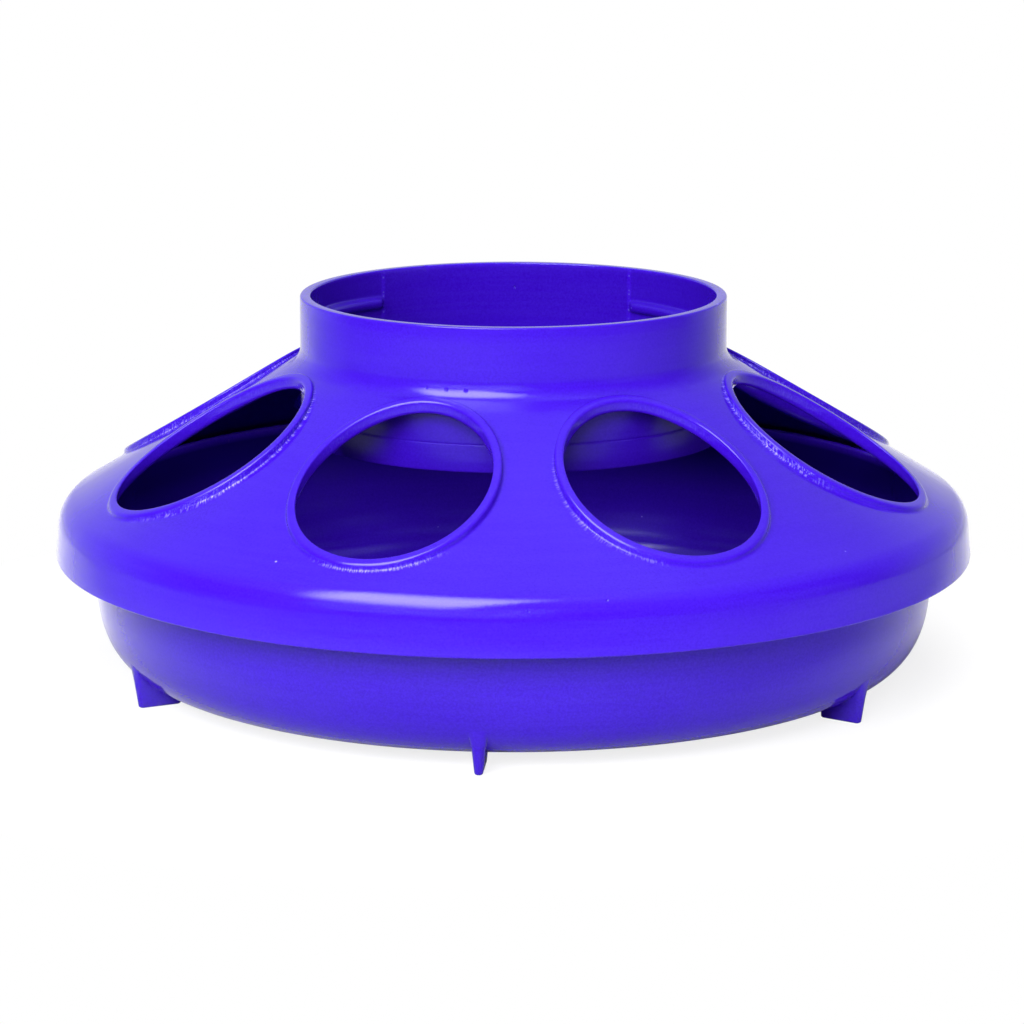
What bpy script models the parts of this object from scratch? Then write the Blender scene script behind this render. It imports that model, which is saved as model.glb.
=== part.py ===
"""Jar-top chick feeder base: a ring-shaped cover with feed holes over a round dish on six feet.

All lengths are in metres. +Z is up and z = 0 is the plane the feet stand on. Angles are measured
around +Z from the -Y side (the front), positive towards +X.
"""
import math

import bmesh
import bpy

MM = 0.001

# Overall form
SEGMENTS = 72

# Cover: neck, cone and skirt
SKIRT_Z = 22.4 * MM
TOP_Z = SKIRT_Z + 45.9 * MM
NECK_R = 38.2 * MM
NECK_BORE_R = 36.28 * MM
CONE_SLOPE = 0.60
CONE_REF_R = 72.3 * MM
CONE_REF_Z = SKIRT_Z + 14.2 * MM
CONE_WALL = 1.52 * MM
SKIRT_R = 82.55 * MM
SKIRT_TOP_R = 81.65 * MM
SKIRT_WALL = 1.5 * MM
TUBE_END_Z = SKIRT_Z + 20.8 * MM

# Cover: ledge the jar's mouth sits on
SEAT_Z = SKIRT_Z + 25.7 * MM
SEAT_R = 33.0 * MM
SEAT_THICK = 1.5 * MM

# Cover: interrupted screw thread for the jar
THREAD_PITCH = 4.75 * MM
THREAD_Z = SKIRT_Z + 38.1 * MM
THREAD_DEPTH = 1.3 * MM
THREAD_CREST = 1.1 * MM
THREAD_ROOT = 2.4 * MM
THREAD_HALF_SPAN = 50.0

# Cover: feed holes and their collars
HOLES = 8
HOLE_CENTRE_R = 58.1 * MM
HOLE_R = 16.4 * MM
COLLAR_R = 17.9 * MM
COLLAR_Z = SKIRT_Z + 23.6 * MM
CREST_BEND = 0.65
COLLAR_STEPS = 32

# Dish
DISH_WALL = 1.5 * MM
DISH_UNDER_Z = 2.3 * MM
DISH_CURVE_Z = SKIRT_Z - 3.9 * MM
DISH_CURVE_R = 64.0 * MM
DISH_CURVE_A = 11.4 * MM
DISH_CURVE_POWER = 2.46
DISH_RIM_R = 75.75 * MM
DISH_RIM_Z = SKIRT_Z + 10.2 * MM
FLANGE_R = 80.3 * MM
FLANGE_LOW_Z = SKIRT_Z + 1.2 * MM
FLANGE_HIGH_Z = SKIRT_Z + 2.6 * MM

# Feet
FEET = 6
FEET_TURN = -7.2
FOOT_INNER_R = 64.7 * MM
FOOT_OUTER_R = 72.2 * MM
FOOT_LEAN = 0.15
FOOT_TOP_Z = 8.6 * MM
FOOT_TIP_HALF = 0.6 * MM
FOOT_LOW_HALF = 0.78 * MM
FOOT_TOP_HALF = 1.65 * MM
FOOT_EDGE = 0.4 * MM


def clear_scene():
    for item in list(bpy.data.objects):
        bpy.data.objects.remove(item)


def plastic(name, colour):
    material = bpy.data.materials.new(name)
    material.use_nodes = True
    shader = material.node_tree.nodes["Principled BSDF"]
    shader.inputs["Base Color"].default_value = (*colour, 1.0)
    shader.inputs["Roughness"].default_value = 0.22
    material.diffuse_color = (*colour, 1.0)
    return material


def around(radius, degrees, height):
    turn = math.radians(degrees)
    return (radius * math.sin(turn), -radius * math.cos(turn), height)


def make_object(name, bm):
    bmesh.ops.recalc_face_normals(bm, faces=bm.faces)
    mesh = bpy.data.meshes.new(name)
    bm.to_mesh(mesh)
    bm.free()
    obj = bpy.data.objects.new(name, mesh)
    bpy.context.scene.collection.objects.link(obj)
    return obj


def rounded(corners):
    """Turn (r, z, radius, steps) corners of a closed outline into points with round corners."""
    points = []
    count = len(corners)
    for index, (r, z, radius, steps) in enumerate(corners):
        if radius <= 0.0:
            points.append((r, z))
            continue
        before = corners[index - 1]
        after = corners[(index + 1) % count]
        in_r, in_z = before[0] - r, before[1] - z
        out_r, out_z = after[0] - r, after[1] - z
        in_len = math.hypot(in_r, in_z)
        out_len = math.hypot(out_r, out_z)
        in_r, in_z = in_r / in_len, in_z / in_len
        out_r, out_z = out_r / out_len, out_z / out_len
        half = 0.5 * math.acos(max(-1.0, min(1.0, in_r * out_r + in_z * out_z)))
        reach = radius / math.tan(half)
        mid_r, mid_z = in_r + out_r, in_z + out_z
        mid_len = math.hypot(mid_r, mid_z)
        centre_r = r + mid_r / mid_len * radius / math.sin(half)
        centre_z = z + mid_z / mid_len * radius / math.sin(half)
        start = math.atan2(z + in_z * reach - centre_z, r + in_r * reach - centre_r)
        end = math.atan2(z + out_z * reach - centre_z, r + out_r * reach - centre_r)
        sweep = (end - start + math.pi) % (2.0 * math.pi) - math.pi
        for step in range(steps + 1):
            angle = start + sweep * step / steps
            points.append((centre_r + radius * math.cos(angle), centre_z + radius * math.sin(angle)))
    return points


def revolve(name, outline, closed=True):
    """Spin an outline of (r, z) points about +Z; an open outline starts and ends on the axis."""
    bm = bmesh.new()
    rings = []
    for r, z in outline:
        if r < 1e-9:
            vert = bm.verts.new((0.0, 0.0, z))
            rings.append([vert] * SEGMENTS)
        else:
            rings.append([bm.verts.new(around(r, 360.0 * k / SEGMENTS, z)) for k in range(SEGMENTS)])
    pairs = list(zip(rings, rings[1:]))
    if closed:
        pairs.append((rings[-1], rings[0]))
    for upper, lower in pairs:
        for k in range(SEGMENTS):
            j = (k + 1) % SEGMENTS
            corners = []
            for vert in (upper[k], lower[k], lower[j], upper[j]):
                if vert not in corners:
                    corners.append(vert)
            bm.faces.new(corners)
    return make_object(name, bm)


def sweep_rings(name, rings, closed):
    """Skin a list of equal vertex rings; an open run is capped at both ends."""
    bm = bmesh.new()
    verts = [[bm.verts.new(point) for point in ring] for ring in rings]
    size = len(verts[0])
    pairs = list(zip(verts, verts[1:]))
    if closed:
        pairs.append((verts[-1], verts[0]))
    else:
        bm.faces.new(verts[0])
        bm.faces.new(verts[-1])
    for first, second in pairs:
        for k in range(size):
            j = (k + 1) % size
            bm.faces.new((first[k], first[j], second[j], second[k]))
    return make_object(name, bm)


def combine(target, tool, operation):
    """Apply one exact Boolean and remove the tool."""
    modifier = target.modifiers.new(operation.lower(), "BOOLEAN")
    modifier.operation = operation
    modifier.solver = "EXACT"
    modifier.object = tool
    bpy.context.view_layer.objects.active = target
    target.select_set(True)
    bpy.ops.object.modifier_apply(modifier=modifier.name)
    target.select_set(False)
    bpy.data.objects.remove(tool)


def tidy_mesh(obj):
    """Merge the hair-thin edges that Boolean cuts leave."""
    bm = bmesh.new()
    bm.from_mesh(obj.data)
    bmesh.ops.triangulate(bm, faces=bm.faces)
    bmesh.ops.remove_doubles(bm, verts=bm.verts, dist=0.03 * MM)
    bmesh.ops.dissolve_degenerate(bm, edges=bm.edges, dist=0.01 * MM)
    bmesh.ops.recalc_face_normals(bm, faces=bm.faces)
    bm.to_mesh(obj.data)
    bm.free()


def cone_z(radius):
    return CONE_REF_Z + CONE_SLOPE * (CONE_REF_R - radius)


def cover_shell():
    inner_skirt_r = SKIRT_TOP_R - SKIRT_WALL
    corners = [
        (NECK_R, TOP_Z, 0.4 * MM, 2),
        (NECK_R, cone_z(NECK_R), 2.9 * MM, 4),
        (SKIRT_TOP_R, cone_z(SKIRT_TOP_R), 5.5 * MM, 4),
        (SKIRT_R, SKIRT_Z, 0.5 * MM, 2),
        (SKIRT_R - SKIRT_WALL, SKIRT_Z, 0.4 * MM, 1),
        (inner_skirt_r, cone_z(inner_skirt_r) - CONE_WALL, 3.0 * MM, 3),
        (NECK_R, cone_z(NECK_R) - CONE_WALL, 1.0 * MM, 1),
        (NECK_R, TUBE_END_Z, 0.4 * MM, 1),
        (NECK_BORE_R, TUBE_END_Z, 0.4 * MM, 1),
        (NECK_BORE_R, SEAT_Z - SEAT_THICK, 0.0, 0),
        (SEAT_R, SEAT_Z - SEAT_THICK, 0.3 * MM, 1),
        (SEAT_R, SEAT_Z, 0.3 * MM, 1),
        (NECK_BORE_R, SEAT_Z, 0.0, 0),
        (NECK_BORE_R, TOP_Z, 0.4 * MM, 2),
    ]
    return revolve("feeder_cover", rounded(corners))


def hole_cutter(bearing):
    """Upright cylinder a little wider than the feed hole, hidden inside the collar's wall."""
    radius = 0.5 * (HOLE_R + COLLAR_R)
    centre = around(HOLE_CENTRE_R, bearing, 0.0)
    rings = []
    for height in (SKIRT_Z - 5.0 * MM, TOP_Z):
        ring = []
        for k in range(COLLAR_STEPS):
            turn = 2.0 * math.pi * (k + 0.5) / COLLAR_STEPS
            x = centre[0] + radius * math.cos(turn)
            y = centre[1] + radius * math.sin(turn)
            ring.append((x, y, height))
        rings.append(ring)
    return sweep_rings("hole_cutter", rings, False)


def collar(bearing):
    """Upright round wall whose foot follows the cone and whose crest slopes nearly along it."""
    edge = 0.4 * MM
    span = COLLAR_R - HOLE_R
    rings = []
    for k in range(COLLAR_STEPS):
        turn = 2.0 * math.pi * k / COLLAR_STEPS

        def wall_point(radius, drop, on_cone):
            out = HOLE_CENTRE_R + radius * math.cos(turn)
            across = radius * math.sin(turn)
            if on_cone:
                height = cone_z(math.hypot(out, across)) - drop
            else:
                flat = radius * math.cos(turn)
                bent = math.hypot(out, across) - HOLE_CENTRE_R
                height = COLLAR_Z - CONE_SLOPE * (flat + CREST_BEND * (bent - flat)) - drop
            front = around(out, bearing, height)
            side = math.radians(bearing)
            return (front[0] + across * math.cos(side), front[1] + across * math.sin(side), height)

        rings.append([
            wall_point(HOLE_R, CONE_WALL + 0.1 * MM, True),
            wall_point(HOLE_R, edge, False),
            wall_point(HOLE_R + 0.3 * span, 0.0, False),
            wall_point(HOLE_R + 0.7 * span, 0.0, False),
            wall_point(COLLAR_R, edge, False),
            wall_point(COLLAR_R, CONE_WALL + 0.1 * MM, True),
        ])
    return sweep_rings("collar", rings, True)


def thread_lug(middle):
    """Stretch of right-hand jar thread on the neck's bore, fading into the wall at both ends."""
    root_r = NECK_BORE_R + 0.4 * MM
    steps = 14
    rings = []
    for k in range(steps + 1):
        along = -1.0 + 2.0 * k / steps
        bearing = middle + THREAD_HALF_SPAN * along
        proud = THREAD_DEPTH if abs(along) < 0.9 else -0.2 * MM
        height = THREAD_Z + THREAD_PITCH * bearing / 360.0
        crest_r = NECK_BORE_R - proud
        turn = math.radians(bearing)
        ring = []
        for r, lift in ((root_r, -0.5 * THREAD_ROOT), (crest_r, -0.5 * THREAD_CREST),
                        (crest_r, 0.5 * THREAD_CREST), (root_r, 0.5 * THREAD_ROOT)):
            ring.append((r * math.cos(turn), r * math.sin(turn), height + lift))
        rings.append(ring)
    return sweep_rings("thread_lug", rings, False)


def dish_curve(inset, steps):
    """Points (r, z) of the dish's rounded corner, from its upright wall down to its flat floor."""
    points = []
    for k in range(steps + 1):
        turn = 0.5 * math.pi * k / steps
        power = 2.0 / DISH_CURVE_POWER
        across = (DISH_CURVE_A - inset) * max(0.0, math.cos(turn)) ** power
        down = (DISH_CURVE_Z - DISH_UNDER_Z - inset) * math.sin(turn) ** power
        points.append((DISH_CURVE_R + across, DISH_CURVE_Z - down))
    return points


def dish_wall_r(height):
    """Outer radius of the dish's nearly upright wall."""
    low_r = DISH_CURVE_R + DISH_CURVE_A
    share = (height - DISH_CURVE_Z) / (DISH_RIM_Z - DISH_CURVE_Z)
    return low_r + (DISH_RIM_R - low_r) * share


def dish_shell():
    rim_in = DISH_RIM_R - DISH_WALL
    edge = 0.35 * MM
    outer = [
        (DISH_RIM_R - edge, DISH_RIM_Z),
        (DISH_RIM_R, DISH_RIM_Z - edge),
        (dish_wall_r(FLANGE_HIGH_Z), FLANGE_HIGH_Z),
        (FLANGE_R - edge, FLANGE_HIGH_Z),
        (FLANGE_R, FLANGE_HIGH_Z - edge),
        (FLANGE_R, FLANGE_LOW_Z + edge),
        (FLANGE_R - edge, FLANGE_LOW_Z),
        (dish_wall_r(FLANGE_LOW_Z), FLANGE_LOW_Z),
    ]
    inner = [(rim_in, DISH_RIM_Z - edge), (rim_in + edge, DISH_RIM_Z)]
    outline = [(0.0, DISH_UNDER_Z + DISH_WALL)]
    outline += list(reversed(dish_curve(DISH_WALL, 7)))
    outline += inner
    outline += outer
    outline += dish_curve(0.0, 10)
    outline.append((0.0, DISH_UNDER_Z))
    return revolve("feed_dish", outline, closed=False)


def foot(bearing):
    """Radial fin under the dish, thick where it grows out of the dish and thin at its tip."""
    side_r = []
    top_r = FOOT_OUTER_R + FOOT_LEAN * FOOT_TOP_Z
    outline = [(FOOT_INNER_R, FOOT_EDGE), (FOOT_OUTER_R, FOOT_EDGE), (top_r, FOOT_TOP_Z)]
    for r, z in dish_curve(0.5 * DISH_WALL, 12):
        if r > FOOT_INNER_R - 0.4 * MM and z < FOOT_TOP_Z:
            side_r.append((r, z))
    outline += side_r
    turn = math.radians(bearing)
    bm = bmesh.new()

    def place(r, z, half):
        base = around(r, bearing, z)
        return bm.verts.new((base[0] + half * math.cos(turn), base[1] + half * math.sin(turn), z))

    def half_at(z):
        return FOOT_LOW_HALF + (FOOT_TOP_HALF - FOOT_LOW_HALF) * (z - FOOT_EDGE) / (FOOT_TOP_Z - FOOT_EDGE)

    left = [place(r, z, -half_at(z)) for r, z in outline]
    right = [place(r, z, half_at(z)) for r, z in outline]
    tip = [
        place(FOOT_INNER_R + 0.3 * MM, 0.0, -FOOT_TIP_HALF),
        place(FOOT_OUTER_R - 0.3 * MM, 0.0, -FOOT_TIP_HALF),
        place(FOOT_OUTER_R - 0.3 * MM, 0.0, FOOT_TIP_HALF),
        place(FOOT_INNER_R + 0.3 * MM, 0.0, FOOT_TIP_HALF),
    ]
    bm.faces.new(left)
    bm.faces.new(right)
    for k in range(1, len(outline)):
        j = (k + 1) % len(outline)
        bm.faces.new((left[k], left[j], right[j], right[k]))
    bm.faces.new(tip)
    bm.faces.new((left[0], left[1], tip[1], tip[0]))
    bm.faces.new((left[1], right[1], tip[2], tip[1]))
    bm.faces.new((right[1], right[0], tip[3], tip[2]))
    bm.faces.new((right[0], left[0], tip[0], tip[3]))
    return make_object("foot", bm)


def finish_part(obj, material):
    obj.data.materials.clear()
    obj.data.materials.append(material)
    for polygon in obj.data.polygons:
        polygon.use_smooth = True
        polygon.material_index = 0
    obj.select_set(True)
    bpy.context.view_layer.objects.active = obj
    bpy.ops.object.shade_smooth_by_angle(angle=math.radians(35.0))
    obj.select_set(False)


def build_cover():
    cover = cover_shell()
    for number in range(HOLES):
        bearing = 360.0 * (number + 0.5) / HOLES
        combine(cover, hole_cutter(bearing), "DIFFERENCE")
        combine(cover, collar(bearing), "UNION")
    for middle in (0.0, 180.0):
        combine(cover, thread_lug(middle), "UNION")
    tidy_mesh(cover)
    finish_part(cover, plastic("cover_plastic", (0.09, 0.02, 0.93)))


def build_dish():
    dish = dish_shell()
    for number in range(FEET):
        combine(dish, foot(FEET_TURN + 360.0 * number / FEET), "UNION")
    tidy_mesh(dish)
    finish_part(dish, plastic("dish_plastic", (0.08, 0.018, 0.88)))


clear_scene()
build_dish()
build_cover()
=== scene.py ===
"""Looks for the jar-top chick feeder base: finer meshes and moulded-plastic materials on the CAD frame.

Lengths are in metres. Bearings are degrees round +Z from the -Y side, positive towards +X.
"""
import math

import bmesh
import bpy
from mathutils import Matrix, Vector


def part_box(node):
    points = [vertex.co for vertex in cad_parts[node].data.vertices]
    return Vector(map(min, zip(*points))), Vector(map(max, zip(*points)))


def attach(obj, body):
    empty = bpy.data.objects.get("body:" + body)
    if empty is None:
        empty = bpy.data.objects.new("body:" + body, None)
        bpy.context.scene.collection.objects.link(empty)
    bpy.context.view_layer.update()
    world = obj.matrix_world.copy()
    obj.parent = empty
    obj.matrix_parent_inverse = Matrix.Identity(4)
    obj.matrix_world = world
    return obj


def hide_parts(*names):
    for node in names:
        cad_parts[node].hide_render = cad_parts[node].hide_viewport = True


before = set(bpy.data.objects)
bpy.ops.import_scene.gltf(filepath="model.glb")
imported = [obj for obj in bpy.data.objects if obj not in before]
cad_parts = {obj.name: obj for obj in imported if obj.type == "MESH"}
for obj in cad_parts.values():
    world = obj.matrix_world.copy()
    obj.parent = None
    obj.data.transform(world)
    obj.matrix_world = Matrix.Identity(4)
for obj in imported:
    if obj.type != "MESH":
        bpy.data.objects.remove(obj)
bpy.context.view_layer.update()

MM = 0.001
SECTORS = 8
PER_SECTOR = 48
COLUMNS = SECTORS * PER_SECTOR
SPOKE_STEPS = 28

dish_low, dish_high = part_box("feed_dish")
cover_low, cover_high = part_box("feeder_cover")
SKIRT_Z = cover_low.z
TOP_Z = cover_high.z

# Cover outline
NECK_R = 38.2 * MM
BORE_R = 36.28 * MM
SLOPE = 0.60
SLOPE_ANGLE = math.atan(SLOPE)
CONE_REF_R = 72.3 * MM
CONE_REF_Z = SKIRT_Z + 14.2 * MM
CONE_WALL = 1.52 * MM
NECK_FILLET = 3.7 * MM
UNDER_FILLET = 0.8 * MM
SHOULDER_FILLET = 5.5 * MM
INNER_RING_R = 38.75 * MM
OUTER_RING_R = 78.6 * MM
SKIRT_R = 82.45 * MM
SKIRT_TOP_R = 81.65 * MM
SKIRT_WALL = 1.5 * MM
TUBE_END_Z = SKIRT_Z + 20.8 * MM
SEAT_Z = SKIRT_Z + 25.7 * MM
SEAT_R = 33.0 * MM
SEAT_THICK = 1.5 * MM

# Feed holes
HOLE_CENTRE_R = 58.1 * MM
HOLE_R = 16.4 * MM
COLLAR_R = 17.9 * MM
COLLAR_Z = SKIRT_Z + 23.6 * MM
CREST_BEND = 0.65
COLLAR_FOOT = 0.4 * MM
CREST_OUTER = 0.5 * MM
CREST_INNER = 0.35 * MM
HOLE_EDGE = 0.85 * MM
# Rows of the cone's faces from a hole to its sector's edge, and how far they crowd towards the hole
TOP_ROWS, TOP_CROWDING = 10, 1.25
UNDER_ROWS, UNDER_CROWDING = 4, 1.8
# Tool marks at the foot of each collar, by the hole's bearing, with pale colour as a painted glint
# where the light catches them:
# middle bearing, half span, strength and share that climbs the collar's side
TOOL_MARK_GLINTS = {
    -67.5: (25.0, 75.0, 0.75, 0.3),
    -22.5: (-12.0, 42.0, 0.45, 0.2),
    22.5: (-50.0, 50.0, 0.5, 0.2),
    67.5: (-62.0, 60.0, 0.95, 0.9),
}
OTHER_TOOL_MARK_GLINTS = (0.0, 80.0, 0.7, 0.3)
# Strength of those marks over the rounded foot, from the cone up to the collar's side
FOOT_MARKS = (0.75, 0.85, 1.0, 1.0)
HATCH = 0.05
# Small dents: radius, bearing, height and size
NICKS = [
    (38.55 * MM, -25.3, 57.7 * MM, 0.4 * MM),
    (38.6 * MM, -19.8, 57.6 * MM, 0.4 * MM),
    (38.6 * MM, -14.7, 57.5 * MM, 0.4 * MM),
    (81.4 * MM, -1.0, 30.1 * MM, 0.3 * MM),
    (80.6 * MM, 8.0, 31.3 * MM, 0.3 * MM),
    (36.3 * MM, -156.0, 68.1 * MM, 0.8 * MM),
    (36.3 * MM, -105.0, 65.6 * MM, 0.5 * MM),
    (36.2 * MM, 177.0, 63.7 * MM, 0.35 * MM),
]

# Jar thread
THREAD_Z = SKIRT_Z + 38.1 * MM
THREAD_PITCH = 4.75 * MM
THREAD_DEPTH = 1.3 * MM
THREAD_HALF_SPAN = 50.0
THREAD_END = 2.6
# Half of the thread's section: millimetres from its middle and share of its depth
THREAD_SECTION = [(7.0, 0.0), (5.6, 0.0), (4.2, 0.0), (3.0, 0.0), (2.2, 0.0), (1.7, 0.0), (1.45, 0.0),
                  (1.32, 0.03), (1.2, 0.12), (1.08, 0.28), (0.95, 0.48), (0.82, 0.67), (0.66, 0.83),
                  (0.48, 0.93), (0.26, 0.985), (0.0, 1.0)]
BELOW_THREAD = (9.0, 12.0)
# The bore between the two thread stretches stands in by this much, with a seam at each end
BARE_PROUD = 0.07 * MM
SEAM_WIDTH = 0.95
SEAM_MARK = 0.22
# Matt share of the bore, which also darkens it with painted shade
BORE_MATT_AND_SHADE = 0.25

# Dish
DISH_WALL = 1.5 * MM
DISH_UNDER_Z = 2.3 * MM
DISH_CURVE_Z = SKIRT_Z - 3.9 * MM
DISH_CURVE_R = 64.0 * MM
DISH_CURVE_A = 11.4 * MM
DISH_POWER = 2.0 / 2.46
DISH_RIM_R = 75.75 * MM
DISH_RIM_Z = dish_high.z
DISH_MIDDLE_R = 2.0 * MM
# Matt share of the dish's inside floor, which also darkens it with painted shade
FLOOR_MATT_AND_SHADE = 0.35
FLANGE_R = 80.3 * MM
FLANGE_LOW_Z = SKIRT_Z + 1.2 * MM
FLANGE_HIGH_Z = SKIRT_Z + 2.6 * MM

# Feet: radial fins that stand from the inner to the outer radius
FEET = 6
FEET_TURN = -7.2
FOOT_INNER_R = 64.7 * MM
FOOT_OUTER_R = 72.4 * MM
FOOT_LEAN = 0.15
FOOT_TIP_Z = 0.3 * MM
FOOT_TIP_TUCK = 0.35 * MM
FOOT_TOP_Z = 8.6 * MM
FOOT_TOP_TUCK = 0.9
FOOT_LEAST = 0.4 * MM
# Height and half width in millimetres
FOOT_LEVELS = [(0.0, 0.4), (0.08, 0.58), (0.25, 0.7), (0.6, 0.79), (1.5, 0.88), (3.0, 1.02), (4.5, 1.2),
               (6.0, 1.44), (7.2, 1.72), (8.4, 2.1), (9.6, 2.7)]

# Camera and lights
CAMERA_BEARING = -2.67
CAMERA_PITCH = 12.54
CAMERA_RADIUS = 0.62474
CAMERA_RISE = 0.14466
CAMERA_LENS = 123.98
CAMERA_SHIFT = -0.0014
LIT_POINT = Vector((0.0, 0.0, 0.03))
WHITE = (1.0, 1.0, 1.0)


def on_circle(radius, bearing, height):
    turn = math.radians(bearing)
    return Vector((radius * math.sin(turn), -radius * math.cos(turn), height))


def line(start, end, steps):
    """Points (r, z) along a straight stretch, without its start."""
    points = []
    for k in range(1, steps + 1):
        t = k / steps
        points.append((start[0] + (end[0] - start[0]) * t, start[1] + (end[1] - start[1]) * t))
    return points


def clamp(value):
    return max(0.0, min(1.0, value))


def off_lugs(turn):
    """Degrees from the middle of the nearer thread stretch; turn is from +X."""
    return min(abs((turn + 180.0) % 360.0 - 180.0), abs(turn % 360.0 - 180.0))


class Skin:
    """Quads collected patch by patch and welded into one mesh.

    Each point has a finish value for the shader: 1 is tool-marked, 0 is glossy and -1 is matt, its
    colour darkened with painted shade.
    Its sweep value is the distance round a feed hole, which spaces the tool marks.
    """

    def __init__(self):
        self.points = []
        self.marks = []
        self.sweeps = []
        self.faces = []

    def grid(self, rows, marks=None, sweep=None, matt_and_shade=None):
        """Add rows of points with a finish per point (marks) or, per row, a share of matt finish with
        painted shade (the last argument).
        """
        base = len(self.points)
        wide = len(rows[0])
        for i, row in enumerate(rows):
            self.points.extend(row)
            plain = -matt_and_shade[i] if matt_and_shade else 0.0
            self.marks.extend(marks[i] if marks else [plain] * wide)
            self.sweeps.extend(sweep or [0.0] * wide)
        for i in range(len(rows) - 1):
            for j in range(wide):
                k = (j + 1) % wide
                a = base + i * wide
                b = a + wide
                self.faces.append((a + j, a + k, b + k, b + j))

    def build(self, name):
        mesh = bpy.data.meshes.new(name)
        mesh.from_pydata([tuple(p) for p in self.points], [], self.faces)
        for label, values in (("finish_and_shade", self.marks), ("sweep", self.sweeps)):
            layer = mesh.attributes.new(label, "FLOAT", "POINT")
            layer.data.foreach_set("value", values)
        bm = bmesh.new()
        bm.from_mesh(mesh)
        bmesh.ops.remove_doubles(bm, verts=bm.verts, dist=0.002 * MM)
        bmesh.ops.recalc_face_normals(bm, faces=bm.faces)
        bm.to_mesh(mesh)
        bm.free()
        mesh.polygons.foreach_set("use_smooth", [True] * len(mesh.polygons))
        obj = bpy.data.objects.new(name, mesh)
        bpy.context.scene.collection.objects.link(obj)
        return obj


def cone_line(r):
    return CONE_REF_Z + SLOPE * (CONE_REF_R - r)


def cone_top(r):
    """Height of the cone's outer face, with the fillet up to the neck."""
    centre_r = NECK_R + NECK_FILLET
    if r >= centre_r - NECK_FILLET * math.sin(SLOPE_ANGLE):
        return cone_line(r)
    centre_z = cone_line(centre_r) + NECK_FILLET / math.cos(SLOPE_ANGLE)
    return centre_z - math.sqrt(max(0.0, NECK_FILLET ** 2 - (centre_r - r) ** 2))


def cone_under(r):
    """Height of the cone's inner face, with the fillet down to the feed tube."""
    centre_r = NECK_R + UNDER_FILLET
    if r >= centre_r + UNDER_FILLET * math.sin(SLOPE_ANGLE):
        return cone_line(r) - CONE_WALL
    centre_z = cone_line(centre_r) - CONE_WALL - UNDER_FILLET / math.cos(SLOPE_ANGLE)
    return centre_z + math.sqrt(max(0.0, UNDER_FILLET ** 2 - (centre_r - r) ** 2))


def sector_outline():
    """Outline of a 45 degree sector, as (outward, sideways) points from the main axis."""
    half = 180.0 / SECTORS
    points = []

    def add(r, angle):
        turn = math.radians(angle)
        points.append((r * math.cos(turn), r * math.sin(turn)))

    for k in range(PER_SECTOR + 1):
        add(OUTER_RING_R, -half + 2.0 * half * k / PER_SECTOR)
    for k in range(1, SPOKE_STEPS):
        add(OUTER_RING_R + (INNER_RING_R - OUTER_RING_R) * k / SPOKE_STEPS, half)
    for k in range(PER_SECTOR + 1):
        add(INNER_RING_R, half - 2.0 * half * k / PER_SECTOR)
    for k in range(1, SPOKE_STEPS):
        add(INNER_RING_R + (OUTER_RING_R - INNER_RING_R) * k / SPOKE_STEPS, -half)
    return points


def collar_section(du, dv, share, up_side):
    """Section of one collar along a ray from the hole's centre: (distance, height) points and marks.

    It runs from the cone up the collar's side, over its crest and down the hole's wall.
    """
    hatch = HATCH * clamp(-2.0 * du)

    def cone_at(d, height):
        return height(math.hypot(HOLE_CENTRE_R + du * d, dv * d))

    def crest(d):
        flat = du * d
        bent = math.hypot(HOLE_CENTRE_R + flat, dv * d) - HOLE_CENTRE_R
        return COLLAR_Z - SLOPE * (flat + CREST_BEND * (bent - flat))

    section = []
    marks = [share * mark for mark in FOOT_MARKS + (max(0.7, up_side), up_side, up_side, 0.8 * up_side)]
    foot_z = cone_at(COLLAR_R, cone_top)
    rise = crest(COLLAR_R) - foot_z
    lift = min(COLLAR_FOOT, 0.45 * rise)
    edge = min(CREST_OUTER, 0.5 * rise)
    start_d = COLLAR_R + COLLAR_FOOT
    start_z = cone_at(start_d, cone_top)
    for k in range(7):
        t = k / 6.0
        d = start_d * (1 - t) ** 2 + COLLAR_R * (2 * t * (1 - t) + t * t)
        z = start_z * (1 - t) ** 2 + foot_z * 2 * t * (1 - t) + (foot_z + lift) * t * t
        section.append((d, z))
    section.append((COLLAR_R, crest(COLLAR_R) - edge))
    for k in range(1, 6):
        a = 0.5 * math.pi * k / 5
        d = COLLAR_R - edge + edge * math.cos(a)
        section.append((d, crest(d) - edge + edge * math.sin(a)))
    for k in range(6):
        a = 0.5 * math.pi * (1.0 + k / 5)
        d = HOLE_R + CREST_INNER + CREST_INNER * math.cos(a)
        section.append((d, crest(d) - CREST_INNER + CREST_INNER * math.sin(a)))
    marks += [0.0] * 11
    wall_top = section[-1][1]
    wall_low = cone_at(HOLE_R, cone_under) + HOLE_EDGE
    section += line((HOLE_R, wall_top), (HOLE_R, wall_low), 3)
    marks += [hatch, hatch, 0.0]
    for k in range(1, 4):
        a = 0.5 * math.pi * k / 3
        d = HOLE_R + HOLE_EDGE - HOLE_EDGE * math.cos(a)
        section.append((d, cone_at(d, cone_under) + HOLE_EDGE - HOLE_EDGE * math.sin(a)))
    marks += [0.0] * 3
    return section, marks


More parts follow.
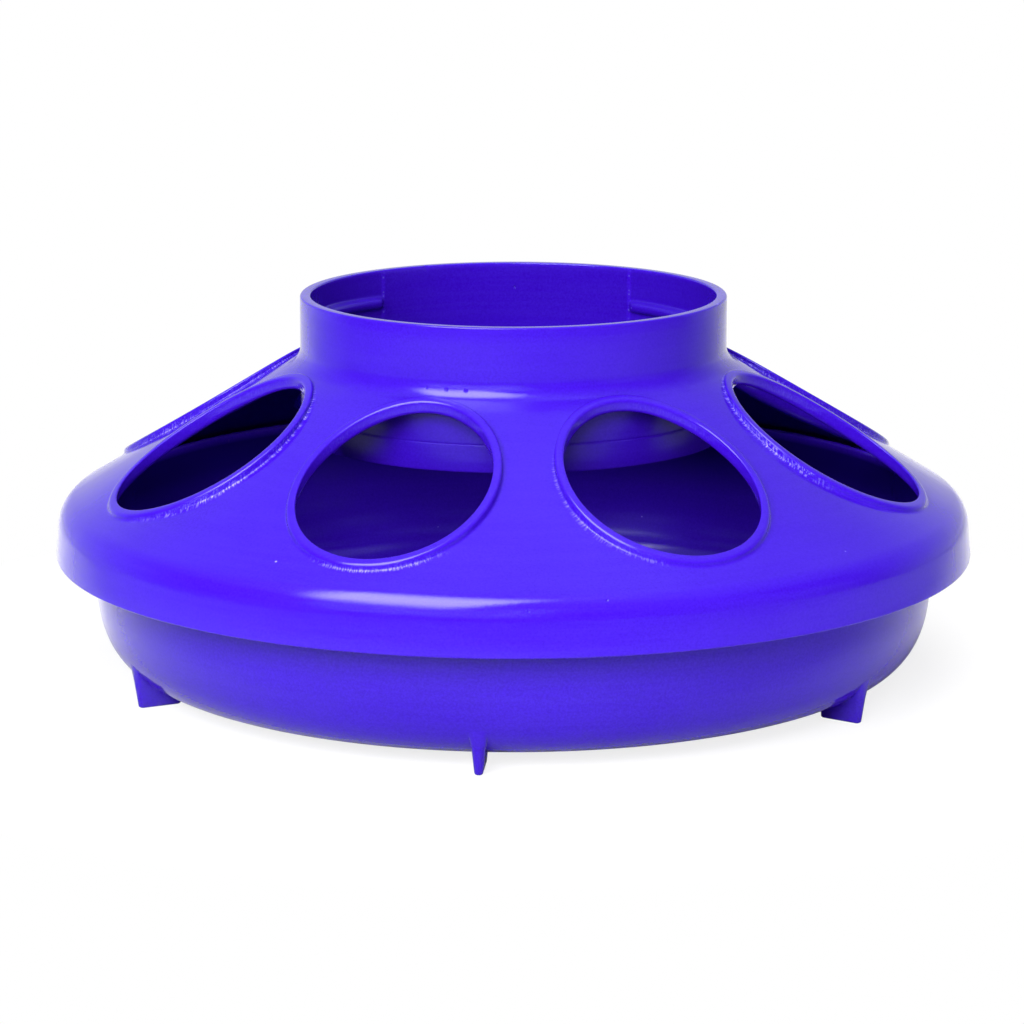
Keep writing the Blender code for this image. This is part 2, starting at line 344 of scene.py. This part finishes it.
def add_hole_sector(skin, bearing):
    """Cone sector with one feed hole: outer face, collar, hole wall and inner face."""
    turn = math.radians(bearing)
    out_dir = Vector((math.sin(turn), -math.cos(turn), 0.0))
    side_dir = Vector((math.cos(turn), math.sin(turn), 0.0))
    rays = []
    for u, v in sector_outline():
        reach = math.hypot(u - HOLE_CENTRE_R, v)
        rays.append(((u - HOLE_CENTRE_R) / reach, v / reach, reach))

    def place(u, v, z):
        point = out_dir * u + side_dir * v
        point.z = z
        return point

    def face_rows(start, height, steps, crowding):
        rows = []
        for k in range(steps + 1):
            row = []
            for du, dv, reach in rays:
                d = start + (reach - start) * (k / steps) ** crowding
                u = HOLE_CENTRE_R + du * d
                v = dv * d
                row.append(place(u, v, height(math.hypot(u, v))))
            rows.append(row)
        return rows

    # Real tool marks with painted glints, strongest round each hole's listed middle bearing
    near_bearing = (bearing + 180.0) % 360.0 - 180.0
    middle, half_span, strength, up_side = TOOL_MARK_GLINTS.get(near_bearing, OTHER_TOOL_MARK_GLINTS)
    shares = []
    for du, dv, _ in rays:
        off = abs((bearing + math.degrees(math.atan2(dv, du)) - middle + 180.0) % 360.0 - 180.0)
        shares.append(strength * clamp(2.5 * (1.0 - off / half_span)))
    sweep = [COLLAR_R * math.atan2(dv, du) for du, dv, _ in rays]
    top_marks = [[FOOT_MARKS[0] * share for share in shares]] + [[0.0] * len(rays)] * TOP_ROWS
    skin.grid(face_rows(COLLAR_R + COLLAR_FOOT, cone_top, TOP_ROWS, TOP_CROWDING), top_marks, sweep)
    # The cone's inner face is matt, darkened with painted shade
    skin.grid(face_rows(HOLE_R + HOLE_EDGE, cone_under, UNDER_ROWS, UNDER_CROWDING),
              matt_and_shade=[0.0] + [1.0] * UNDER_ROWS)

    columns = []
    marks = []
    for (du, dv, _), share in zip(rays, shares):
        section, mark = collar_section(du, dv, share, up_side)
        columns.append([place(HOLE_CENTRE_R + du * d, dv * d, z) for d, z in section])
        marks.append(mark)
    count = len(columns[0])
    rows = [[column[i] for column in columns] for i in range(count)]
    skin.grid(rows, [[mark[i] for mark in marks] for i in range(count)], sweep)


def thread_lift(turn):
    """Height of the thread's line over its middle height, all the way round; turn is from +X."""
    turn = (turn + THREAD_HALF_SPAN + 0.001) % 360.0 - THREAD_HALF_SPAN
    end = 180.0 + THREAD_HALF_SPAN
    if turn <= end:
        return THREAD_PITCH * turn / 360.0
    t = (turn - end) / (360.0 - THREAD_HALF_SPAN - end)
    t = t * t * (3.0 - 2.0 * t)
    high = THREAD_PITCH * end / 360.0
    low = -THREAD_PITCH * THREAD_HALF_SPAN / 360.0
    return high + (low - high) * t


def thread_share(turn):
    """1 on the two thread stretches, 0 between them, with rounded ends."""
    into = (off_lugs(turn) - THREAD_HALF_SPAN + THREAD_END) / THREAD_END
    if into <= 0.0:
        return 1.0
    if into >= 1.0:
        return 0.0
    return math.sqrt(1.0 - into * into)


def bore_rows():
    """Rows of the neck's bore from its rim down to the jar's seat, bent along the thread."""
    bands = THREAD_SECTION + [(-w, p) for w, p in reversed(THREAD_SECTION[:-1])]
    bands += [(-w, 0.0) for w in BELOW_THREAD]
    rows = []
    marks = []
    for offset, proud in bands:
        row = []
        mark = []
        near = max(0.0, 1.0 - max(0.0, abs(offset) - 2.5) / 3.6)
        for k in range(COLUMNS):
            bearing = 360.0 * k / COLUMNS
            turn = bearing - 90.0
            past = off_lugs(turn) - THREAD_HALF_SPAN
            z = THREAD_Z + offset * MM + thread_lift(turn) * near
            bare = BARE_PROUD if past > 0.4 else 0.0
            r = BORE_R - THREAD_DEPTH * proud * thread_share(turn) - bare
            row.append(on_circle(r, bearing, z))
            seam = 0.0 < past < SEAM_WIDTH and offset > -2.5
            mark.append(0.0 if offset == bands[-1][0] else SEAM_MARK if seam else -BORE_MATT_AND_SHADE)
        rows.append(row)
        marks.append(mark)
    return rows, marks


def ring_rows(outline):
    rows = []
    for r, z in outline:
        rows.append([on_circle(r, 360.0 * k / COLUMNS, z) for k in range(COLUMNS)])
    return rows


def fillet(before, corner, after, radius, steps):
    """Arc (r, z) points that round one corner of an outline."""
    b = Vector((before[0] - corner[0], before[1] - corner[1])).normalized()
    a = Vector((after[0] - corner[0], after[1] - corner[1])).normalized()
    half = 0.5 * math.acos(max(-1.0, min(1.0, b.dot(a))))
    reach = radius / math.tan(half)
    centre = Vector(corner) + (a + b).normalized() * (radius / math.sin(half))
    start = Vector(corner) + b * reach - centre
    end = Vector(corner) + a * reach - centre
    first = math.atan2(start.y, start.x)
    sweep = (math.atan2(end.y, end.x) - first + math.pi) % (2.0 * math.pi) - math.pi
    points = []
    for k in range(steps + 1):
        turn = first + sweep * k / steps
        points.append((centre.x + radius * math.cos(turn), centre.y + radius * math.sin(turn)))
    return points


def with_rows(points, longest=2.5 * MM):
    """Add points along the straight stretches so that no row is wider than that."""
    result = [points[0]]
    for start, end in zip(points, points[1:]):
        steps = max(1, math.ceil(math.hypot(end[0] - start[0], end[1] - start[1]) / longest))
        result += line(start, end, steps)
    return result


def rounded(outline, rounds):
    """Fillet the inner corners of an open outline: one (radius, steps) for each of them."""
    points = []
    for i, (radius, steps) in enumerate(rounds):
        points += fillet(outline[i], outline[i + 1], outline[i + 2], radius, steps)
    return points


def make_cover():
    skin = Skin()
    for k in range(SECTORS):
        add_hole_sector(skin, 360.0 * (k + 0.5) / SECTORS)

    neck = [(INNER_RING_R, cone_top(INNER_RING_R))]
    centre_r = NECK_R + NECK_FILLET
    centre_z = cone_line(centre_r) + NECK_FILLET / math.cos(SLOPE_ANGLE)
    first = math.acos((centre_r - INNER_RING_R) / NECK_FILLET)
    for k in range(1, 9):
        a = first * (1.0 - k / 8.0)
        neck.append((centre_r - NECK_FILLET * math.cos(a), centre_z - NECK_FILLET * math.sin(a)))
    rim = [neck[-1], (NECK_R - 0.03 * MM, TOP_Z), (BORE_R, TOP_Z), (BORE_R, SEAT_Z)]
    neck += rounded(rim, [(0.35 * MM, 6), (0.3 * MM, 6)])
    skin.grid(ring_rows(with_rows(neck)))

    rows, marks = bore_rows()
    skin.grid(ring_rows([neck[-1]]) + rows, [[0.0] * COLUMNS] + marks)

    seat_under_z = SEAT_Z - SEAT_THICK
    seat = [(BORE_R, SEAT_Z), (SEAT_R, SEAT_Z), (SEAT_R, seat_under_z), (BORE_R, seat_under_z)]
    tube_end = [seat[-1], (BORE_R, TUBE_END_Z), (NECK_R, TUBE_END_Z), (NECK_R, SEAT_Z)]
    low = [(BORE_R, SEAT_Z + 0.2 * MM), (BORE_R - 0.2 * MM, SEAT_Z)]
    low += rounded(seat, [(0.3 * MM, 4)] * 2) + [seat[-1]]
    low += rounded(tube_end, [(0.4 * MM, 4)] * 2)
    # The fine groove round the tube's outside
    low += [(NECK_R, SEAT_Z - 0.3 * MM), (NECK_R, SEAT_Z - 0.12 * MM), (NECK_R - 0.1 * MM, SEAT_Z),
            (NECK_R - 0.01 * MM, SEAT_Z + 0.12 * MM), (NECK_R, SEAT_Z + 0.3 * MM)]
    under_r = NECK_R + UNDER_FILLET
    under_z = cone_line(under_r) - CONE_WALL - UNDER_FILLET / math.cos(SLOPE_ANGLE)
    last = math.acos((under_r - INNER_RING_R) / UNDER_FILLET)
    for k in range(7):
        a = last * k / 6.0
        low.append((under_r - UNDER_FILLET * math.cos(a), under_z + UNDER_FILLET * math.sin(a)))
    low_rows = [rows[-1]] + ring_rows(with_rows(low))
    # Below the seat and round the tube: partly matt, darkened with painted shade
    skin.grid(low_rows, matt_and_shade=[0.0] + [0.3] * (len(low_rows) - 1))

    inner_top_r = SKIRT_TOP_R - SKIRT_WALL
    skirt_line = [
        (OUTER_RING_R, cone_line(OUTER_RING_R)),
        (SKIRT_TOP_R, cone_line(SKIRT_TOP_R)),
        (SKIRT_R, SKIRT_Z),
        (SKIRT_R - SKIRT_WALL, SKIRT_Z),
        (inner_top_r, cone_line(inner_top_r) - CONE_WALL),
        (OUTER_RING_R, cone_line(OUTER_RING_R) - CONE_WALL),
    ]
    skirt = skirt_line[:1]
    skirt += rounded(skirt_line, [(SHOULDER_FILLET, 16), (0.3 * MM, 6), (0.4 * MM, 4), (2.9 * MM, 6)])
    skirt += skirt_line[-1:]
    skirt_rows = ring_rows(with_rows(skirt))
    # The last row, under the cone, is matt and darkened with painted shade
    skin.grid(skirt_rows, matt_and_shade=[0.0] * (len(skirt_rows) - 1) + [1.0])
    return skin.build("cover_moulding")


def dish_curve(inset, steps):
    points = []
    for k in range(steps + 1):
        turn = 0.5 * math.pi * k / steps
        across = (DISH_CURVE_A - inset) * max(0.0, math.cos(turn)) ** DISH_POWER
        down = (DISH_CURVE_Z - DISH_UNDER_Z - inset) * math.sin(turn) ** DISH_POWER
        points.append((DISH_CURVE_R + across, DISH_CURVE_Z - down))
    return points


def dish_wall_r(height):
    low_r = DISH_CURVE_R + DISH_CURVE_A
    return low_r + (DISH_RIM_R - low_r) * (height - DISH_CURVE_Z) / (DISH_RIM_Z - DISH_CURVE_Z)


def make_dish():
    skin = Skin()
    floor_z = DISH_UNDER_Z + DISH_WALL
    inside = [(DISH_MIDDLE_R, floor_z)] + list(reversed(dish_curve(DISH_WALL, 26)))
    edge = [
        inside[-1],
        (DISH_RIM_R - DISH_WALL, DISH_RIM_Z),
        (DISH_RIM_R, DISH_RIM_Z),
        (dish_wall_r(FLANGE_HIGH_Z), FLANGE_HIGH_Z),
        (FLANGE_R, FLANGE_HIGH_Z),
        (FLANGE_R, FLANGE_LOW_Z),
        (dish_wall_r(FLANGE_LOW_Z), FLANGE_LOW_Z),
        (DISH_CURVE_R + DISH_CURVE_A, DISH_CURVE_Z),
    ]
    outline = rounded(edge, [(0.5 * MM, 4)] * 3 + [(0.4 * MM, 4)] * 2 + [(0.6 * MM, 4)])
    # Painted shade: the inside turns duller and darker up its wall, from 18 to 27 mm above the ground,
    # where the cover's skirt shades it
    inside_rows = ring_rows(with_rows(inside + outline[:1], 1.5 * MM))
    painted_shade_climbs = [clamp((row[0].z - 18.0 * MM) / (9.0 * MM)) for row in inside_rows]
    shares = [FLOOR_MATT_AND_SHADE + (1.0 - FLOOR_MATT_AND_SHADE) * climb for climb in painted_shade_climbs]
    skin.grid(inside_rows, matt_and_shade=shares[:-1] + [0.0])
    outline += dish_curve(0.0, 30)
    outline.append((DISH_MIDDLE_R, DISH_UNDER_Z))
    skin.grid(ring_rows(with_rows(outline, 4.0 * MM)))
    # The inside's middle is matt and darkened with painted shade; the middle underneath is plain
    for z, matt_and_shade in ((floor_z, [FLOOR_MATT_AND_SHADE] * 2), (DISH_UNDER_Z, None)):
        centre = [Vector((0.0, 0.0, z))] * COLUMNS
        skin.grid([centre] + ring_rows([(DISH_MIDDLE_R, z)]), matt_and_shade=matt_and_shade)
    dish = skin.build("dish_moulding")
    bm = bmesh.new()
    bm.from_mesh(dish.data)
    bmesh.ops.dissolve_degenerate(bm, edges=bm.edges, dist=0.0005 * MM)
    bm.to_mesh(dish.data)
    bm.free()
    return dish


def make_foot(bearing, name):
    """Radial fin: slot-shaped level by level, flaring into the dish above and rounded at its tip."""
    turn = math.radians(bearing)
    out_dir = Vector((math.sin(turn), -math.cos(turn), 0.0))
    side_dir = Vector((math.cos(turn), math.sin(turn), 0.0))
    wall = dish_curve(0.5 * DISH_WALL, 40)
    rows = []
    for height, half in FOOT_LEVELS:
        z = height * MM
        outer = FOOT_OUTER_R + FOOT_LEAN * z
        inner = FOOT_INNER_R
        if z < FOOT_TIP_Z:
            tuck = FOOT_TIP_TUCK * (1.0 - z / FOOT_TIP_Z) ** 2
            outer -= tuck
            inner += tuck
        if z > wall[-1][1]:
            for (r0, z0), (r1, z1) in zip(wall, wall[1:]):
                if z1 <= z <= z0:
                    inner = r1 + (r0 - r1) * (z - z1) / (z0 - z1)
                    break
            inner = max(inner, FOOT_INNER_R)
        outer -= FOOT_TOP_TUCK * max(0.0, z - FOOT_TOP_Z)
        outer = max(outer, inner + FOOT_LEAST)
        half_w = half * MM
        nose = min(half_w, 0.45 * (outer - inner))
        row = []
        for centre, first in ((outer - nose, -90.0), (inner + nose, 90.0)):
            for k in range(9):
                a = math.radians(first + 180.0 * k / 8)
                point = out_dir * (centre + nose * math.cos(a)) + side_dir * (half_w * math.sin(a))
                point.z = z
                row.append(point)
        rows.append(row)
    skin = Skin()
    skin.grid(rows)
    foot = skin.build(name)
    bm = bmesh.new()
    bm.from_mesh(foot.data)
    bmesh.ops.holes_fill(bm, edges=[e for e in bm.edges if e.is_boundary], sides=0)
    bmesh.ops.recalc_face_normals(bm, faces=bm.faces)
    bm.to_mesh(foot.data)
    bm.free()
    return foot


class Nodes:
    """Short calls that build one node tree; most return the output socket to link from."""

    def __init__(self, tree, clear=True):
        self.tree = tree
        if clear:
            tree.nodes.clear()

    def add(self, kind, **values):
        node = self.tree.nodes.new(kind)
        for key, value in values.items():
            setattr(node, key, value)
        return node

    def put(self, socket, value):
        """Link the socket, or set its own value."""
        if isinstance(value, bpy.types.NodeSocket):
            self.tree.links.new(value, socket)
        else:
            socket.default_value = value

    def maths(self, operation, *values):
        node = self.add("ShaderNodeMath", operation=operation)
        for socket, value in zip(node.inputs, values):
            self.put(socket, value)
        return node.outputs["Value"]

    def spread(self, value, low, high, out_low=0.0, out_high=1.0, kind="LINEAR"):
        node = self.add("ShaderNodeMapRange", interpolation_type=kind)
        names = ("Value", "From Min", "From Max", "To Min", "To Max")
        for name, setting in zip(names, (value, low, high, out_low, out_high)):
            self.put(node.inputs[name], setting)
        return node.outputs["Result"]

    def blend(self, factor, first, second, data_type="FLOAT"):
        node = self.add("ShaderNodeMix", data_type=data_type)
        for name, value in (("Factor", factor), ("A", first), ("B", second)):
            self.put(node.inputs[name], value)
        return node.outputs["Result"]

    def noise(self, vector, scale, detail, rough=0.5, dimensions="3D"):
        node = self.add("ShaderNodeTexNoise", noise_dimensions=dimensions)
        names = ("Vector", "Scale", "Detail", "Roughness")
        for name, value in zip(names, (vector, scale, detail, rough)):
            self.put(node.inputs[name], value)
        return node.outputs["Fac"]

    def mapped(self, vector, scale, turn=(0.0, 0.0, 0.0)):
        node = self.add("ShaderNodeMapping")
        for name, value in (("Vector", vector), ("Scale", scale), ("Rotation", turn)):
            self.put(node.inputs[name], value)
        return node.outputs["Vector"]

    def apart(self, vector):
        node = self.add("ShaderNodeSeparateXYZ")
        self.put(node.inputs["Vector"], vector)
        return node.outputs

    def specks(self, vector, scale, size, share):
        """Small spots, one in some of the cells; stretched coordinates make them short scratches."""
        cells = self.add("ShaderNodeTexVoronoi")
        self.put(cells.inputs["Scale"], scale)
        self.put(cells.inputs["Vector"], vector)
        pick = self.add("ShaderNodeSeparateColor")
        self.put(pick.inputs["Color"], cells.outputs["Color"])
        kept = self.maths("GREATER_THAN", pick.outputs["Red"], 1.0 - share)
        return self.maths("MULTIPLY", self.spread(cells.outputs["Distance"], size, 0.6 * size), kept)

    def bump(self, height, strength, distance, before=None):
        node = self.add("ShaderNodeBump")
        for name, value in (("Strength", strength), ("Distance", distance), ("Height", height)):
            self.put(node.inputs[name], value)
        if before:
            self.put(node.inputs["Normal"], before)
        return node.outputs["Normal"]


def plastic(name, base, deep, light, painted_shade_colour, speckle, shade_rough, nicks):
    """Glossy moulded plastic: colour flow, haze, dust, scratches, orange peel, dents, tool marks with
    painted glints, and painted shade on matt places.
    """
    material = bpy.data.materials.new(name)
    material.use_nodes = True
    nodes = Nodes(material.node_tree)
    output = nodes.add("ShaderNodeOutputMaterial")
    shader = nodes.add("ShaderNodeBsdfPrincipled")
    nodes.put(output.inputs["Surface"], shader.outputs["BSDF"])
    place = nodes.add("ShaderNodeTexCoord").outputs["Object"]

    # What the mesh says of each place: tool-marked, glossy, or matt with painted shade
    finish_and_shade = nodes.add("ShaderNodeAttribute", attribute_name="finish_and_shade").outputs["Fac"]
    sweep = nodes.add("ShaderNodeAttribute", attribute_name="sweep").outputs["Fac"]
    marked = nodes.maths("MAXIMUM", finish_and_shade, 0.0)
    matt_and_shade = nodes.maths("MAXIMUM", nodes.maths("MULTIPLY", finish_and_shade, -1.0), 0.0)
    along = nodes.add("ShaderNodeCombineXYZ")
    nodes.put(along.inputs["X"], sweep)
    nodes.put(along.inputs["Y"], nodes.maths("MULTIPLY", nodes.apart(place)["Z"], 0.35))
    teeth = nodes.noise(along.outputs["Vector"], 3000.0, 2.0, dimensions="2D")
    patch = nodes.spread(nodes.noise(place, 120.0, 2.0), 0.4, 0.6, 0.35, 1.0)
    chatter = nodes.maths("MULTIPLY", marked, nodes.spread(teeth, 0.5, 0.61))
    marks = nodes.maths("MULTIPLY", chatter, patch)

    dust = nodes.specks(place, 170.0, 0.045, 0.14)
    flecks = nodes.noise(place, 2600.0, 2.0, 0.7)
    streaks = nodes.noise(nodes.mapped(place, (9.0, 9.0, 260.0)), 5.0, 3.0, 0.6)
    upright = nodes.noise(nodes.mapped(place, (150.0, 150.0, 6.0)), 5.0, 2.0)
    long_way = nodes.mapped(place, (12.0, 150.0, 150.0), (0.2, 0.1, 0.5))
    cross_way = nodes.mapped(place, (160.0, 160.0, 11.0), (0.5, -0.4, 0.3))
    scratches = nodes.maths("MAXIMUM", nodes.specks(long_way, 3.2, 0.05, 0.1),
                            nodes.specks(cross_way, 2.6, 0.05, 0.1))

    # Colour
    ramp = nodes.add("ShaderNodeValToRGB")
    nodes.put(ramp.inputs["Fac"], nodes.noise(place, 22.0, 4.0))
    stops = ramp.color_ramp.elements
    stops[0].position, stops[0].color = 0.34, (*deep, 1.0)
    stops[1].position, stops[1].color = 0.68, (*light, 1.0)
    stops.new(0.5).color = (*base, 1.0)
    toned = nodes.add("ShaderNodeVectorMath", operation="SCALE")
    nodes.put(toned.inputs[0], ramp.outputs["Color"])
    nodes.put(toned.inputs["Scale"], nodes.spread(flecks, 0.3, 0.7, 1.0 - speckle, 1.0 + speckle))
    haze = nodes.maths("ADD", nodes.spread(flecks, 0.35, 0.65, 0.0, 0.005),
                       nodes.spread(streaks, 0.4, 0.6, 0.0, 0.003))
    # Pale colour: real dust and haze, and painted glints on the tool marks
    pale_dust_haze_and_glints = nodes.maths("MULTIPLY_ADD", marks, 0.45, nodes.maths("MULTIPLY_ADD", dust, 0.35, haze))
    dusted_and_glinting_colour = nodes.blend(pale_dust_haze_and_glints, toned.outputs["Vector"], (0.42, 0.36, 0.9, 1.0), "RGBA")
    # Matt places blend towards the painted shade colour: painted shade inside the dish, under the cover
    # and in the bore
    nodes.put(shader.inputs["Base Color"], nodes.blend(matt_and_shade, dusted_and_glinting_colour, (*painted_shade_colour, 1.0), "RGBA"))

    # Gloss
    rough = nodes.spread(nodes.noise(place, 35.0, 4.0), 0.32, 0.68, 0.085, 0.15)
    rough = nodes.maths("MULTIPLY_ADD", matt_and_shade, shade_rough, rough)
    rough = nodes.maths("MULTIPLY_ADD", scratches, 0.12, rough)
    nodes.put(shader.inputs["Roughness"], nodes.maths("MULTIPLY_ADD", marks, 0.25, rough))
    nodes.put(shader.inputs["Specular IOR Level"], nodes.maths("MULTIPLY_ADD", matt_and_shade, -0.42, 0.5))
    shader.inputs["IOR"].default_value = 1.49

    # Relief
    normal = nodes.bump(nodes.noise(place, 170.0, 2.0), 0.12, 0.3 * MM)
    normal = nodes.bump(streaks, 0.2, 0.08 * MM, normal)
    normal = nodes.bump(upright, 0.14, 0.06 * MM, normal)
    normal = nodes.bump(nodes.noise(place, 2600.0, 2.0), 0.12, 0.06 * MM, normal)
    normal = nodes.bump(nodes.maths("SUBTRACT", dust, scratches), 0.3, 0.04 * MM, normal)
    for r, bearing, height, size in nicks:
        away = nodes.add("ShaderNodeVectorMath", operation="DISTANCE")
        away.inputs[1].default_value = on_circle(r, bearing, height)
        nodes.put(away.inputs[0], place)
        normal = nodes.bump(nodes.spread(away.outputs["Value"], 0.0, size), 0.7, 0.25 * MM, normal)
    nodes.put(shader.inputs["Normal"], nodes.bump(marks, 0.55, 0.16 * MM, normal))
    return material


def add_light(name, size, location, energy, colour=WHITE):
    data = bpy.data.lights.new(name, "AREA")
    data.shape = "RECTANGLE"
    data.size, data.size_y = size
    data.energy = energy
    data.color = colour
    light = bpy.data.objects.new(name, data)
    bpy.context.scene.collection.objects.link(light)
    light.location = location
    light.rotation_euler = (LIT_POINT - light.location).to_track_quat("-Z", "Y").to_euler()
    return light


def soften_edges(light, across, along):
    """Fade an area light out towards its edges, over shares of its width and height."""
    light.data.use_nodes = True
    nodes = Nodes(light.data.node_tree, clear=False)
    parts = nodes.apart(nodes.add("ShaderNodeNewGeometry").outputs["Parametric"])
    fades = []
    for value, share in ((parts["X"], across), (parts["Y"], along)):
        inwards = nodes.maths("PINGPONG", value, 0.5)
        fades.append(nodes.spread(inwards, 0.0, share, kind="SMOOTHSTEP"))
    emission = nodes.tree.nodes["Emission"]
    nodes.put(emission.inputs["Strength"], nodes.maths("MULTIPLY", *fades))


def floor_look():
    """Plain white underfoot, dimmer in reflections, and fading to the pale backdrop further out."""
    material = bpy.data.materials.new("studio_floor_white")
    material.use_nodes = True
    nodes = Nodes(material.node_tree, clear=False)
    shader = nodes.tree.nodes["Principled BSDF"]
    shader.inputs["Roughness"].default_value = 0.9
    shader.inputs["Specular IOR Level"].default_value = 0.1
    place = nodes.add("ShaderNodeTexCoord").outputs["Object"]
    parts = nodes.apart(place)
    length = nodes.add("ShaderNodeVectorMath", operation="LENGTH")
    nodes.put(length.inputs[0], place)
    radius = length.outputs["Value"]
    path = nodes.add("ShaderNodeLightPath").outputs

    # Painted shade in the floor's tone, as the plastic reflects it: darker in front and away from the
    # lit left side
    near_tone = nodes.spread(parts["X"], -0.12, 0.05, 0.25, 0.16)
    away_tone = nodes.maths("ADD", nodes.spread(parts["X"], -0.2, 0.09, 0.22, 0.11),
                            nodes.spread(parts["X"], 0.1, 0.22, 0.0, 0.13))
    front_tone = nodes.blend(nodes.spread(radius, 0.14, 0.24), near_tone, away_tone)
    sideways = nodes.spread(nodes.maths("SUBTRACT", parts["Y"], radius), -0.17, -0.06)
    tone = nodes.blend(sideways, front_tone, 0.62)
    tone = nodes.blend(path["Is Diffuse Ray"], tone, 0.8)
    tone = nodes.blend(path["Is Camera Ray"], tone, 0.86)
    nodes.put(shader.inputs["Base Color"], tone)

    glow = nodes.add("ShaderNodeEmission")
    glow.inputs["Color"].default_value = (*WHITE, 1.0)
    backdrop = nodes.spread(nodes.maths("DIVIDE", parts["Y"], radius), 0.1, 0.8, 0.12, 0.9)
    nodes.put(glow.inputs["Strength"], nodes.blend(path["Is Camera Ray"], backdrop, 1.0))
    seen = nodes.maths("MULTIPLY", nodes.spread(radius, 0.06, 0.13, 0.8, 1.0), path["Is Camera Ray"])
    mirrored = nodes.maths("MULTIPLY", path["Is Glossy Ray"], nodes.spread(radius, 0.25, 0.5))
    mixer = nodes.add("ShaderNodeMixShader")
    nodes.put(mixer.inputs["Fac"], nodes.maths("MAXIMUM", seen, mirrored))
    nodes.put(mixer.inputs[1], shader.outputs["BSDF"])
    nodes.put(mixer.inputs[2], glow.outputs["Emission"])
    nodes.put(nodes.tree.nodes["Material Output"].inputs["Surface"], mixer.outputs["Shader"])
    return material


def studio_room():
    """A dim room with a pale backdrop low behind the object, shown as white to the camera."""
    world = bpy.data.worlds.new("studio")
    world.use_nodes = True
    nodes = Nodes(world.node_tree)
    parts = nodes.apart(nodes.add("ShaderNodeTexCoord").outputs["Generated"])
    path = nodes.add("ShaderNodeLightPath").outputs
    backdrop = nodes.maths("MULTIPLY", nodes.spread(parts["Y"], 0.1, 0.8),
                           nodes.spread(parts["Z"], 1.0, 0.12))
    overhead = nodes.spread(parts["Z"], 0.55, 0.92, 0.12, 0.52)
    total = nodes.maths("MULTIPLY_ADD", backdrop, 0.78, overhead)
    room = nodes.add("ShaderNodeBackground")
    nodes.put(room.inputs["Strength"], nodes.blend(path["Is Diffuse Ray"], total, 0.05))
    seen = nodes.add("ShaderNodeBackground")
    seen.inputs["Color"].default_value = (*WHITE, 1.0)
    mixer = nodes.add("ShaderNodeMixShader")
    nodes.put(mixer.inputs["Fac"], path["Is Camera Ray"])
    nodes.put(mixer.inputs[1], room.outputs["Background"])
    nodes.put(mixer.inputs[2], seen.outputs["Background"])
    nodes.put(nodes.add("ShaderNodeOutputWorld").inputs["Surface"], mixer.outputs["Shader"])
    return world


# Pieces
# The fourth colour of each is the painted shade colour that matt places blend towards
cover_material = plastic("cover_plastic_look", (0.0205, 0.0011, 0.30), (0.0195, 0.001, 0.285),
                         (0.0215, 0.0013, 0.315), (0.005, 0.0005, 0.08), 0.09, 0.35, NICKS)
dish_material = plastic("dish_plastic_look", (0.0175, 0.001, 0.255), (0.0165, 0.0009, 0.24),
                        (0.0185, 0.0012, 0.27), (0.003, 0.0004, 0.06), 0.12, 0.06, [])

cover = make_cover()
cover.data.materials.append(cover_material)
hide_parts("feeder_cover")
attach(cover, "cover_body")

dish = make_dish()
dish.data.materials.append(dish_material)
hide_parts("feed_dish")
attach(dish, "dish_body")
for index in range(FEET):
    foot = make_foot(FEET_TURN + 360.0 * index / FEET, f"dish_foot_{index + 1}")
    foot.data.materials.append(dish_material)
    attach(foot, "dish_body")

floor_mesh = bpy.data.meshes.new("studio_floor")
floor_mesh.from_pydata([(-6, -6, 0), (6, -6, 0), (6, 6, 0), (-6, 6, 0)], [], [(0, 1, 2, 3)])
floor = bpy.data.objects.new("studio_floor", floor_mesh)
bpy.context.scene.collection.objects.link(floor)
floor.data.materials.append(floor_look())

# Light: three soft boxes for the plastic's colour, and a window for its highlights alone
bpy.context.scene.world = studio_room()
soft_boxes = [
    add_light("main_softbox", (1.0, 0.55), on_circle(0.97, -24.0, 0.56), 36.0),
    add_light("top_softbox", (0.9, 0.9), (0.05, 0.0, 1.3), 20.0),
    add_light("fill_softbox", (0.8, 0.3), on_circle(1.1, 62.0, 0.2), 4.0, (1.0, 0.9, 0.95)),
]
for soft_box in soft_boxes:
    soft_box.visible_glossy = False
window = add_light("window", (0.8, 1.0), on_circle(0.54, -39.0, 0.9), 22.0)
window.visible_diffuse = False
soften_edges(window, 0.22, 0.4)

camera_data = bpy.data.cameras.new("camera")
camera_data.lens = CAMERA_LENS
camera_data.sensor_width = 36.0
camera_data.clip_start = 0.01
camera_data.shift_x = CAMERA_SHIFT
camera = bpy.data.objects.new("camera", camera_data)
bpy.context.scene.collection.objects.link(camera)
camera.location = on_circle(CAMERA_RADIUS, CAMERA_BEARING, SKIRT_Z + CAMERA_RISE)
camera.rotation_euler = (math.radians(90.0 - CAMERA_PITCH), 0.0, math.radians(CAMERA_BEARING))
bpy.context.scene.camera = camera
bpy.context.scene.view_settings.view_transform = "Standard"
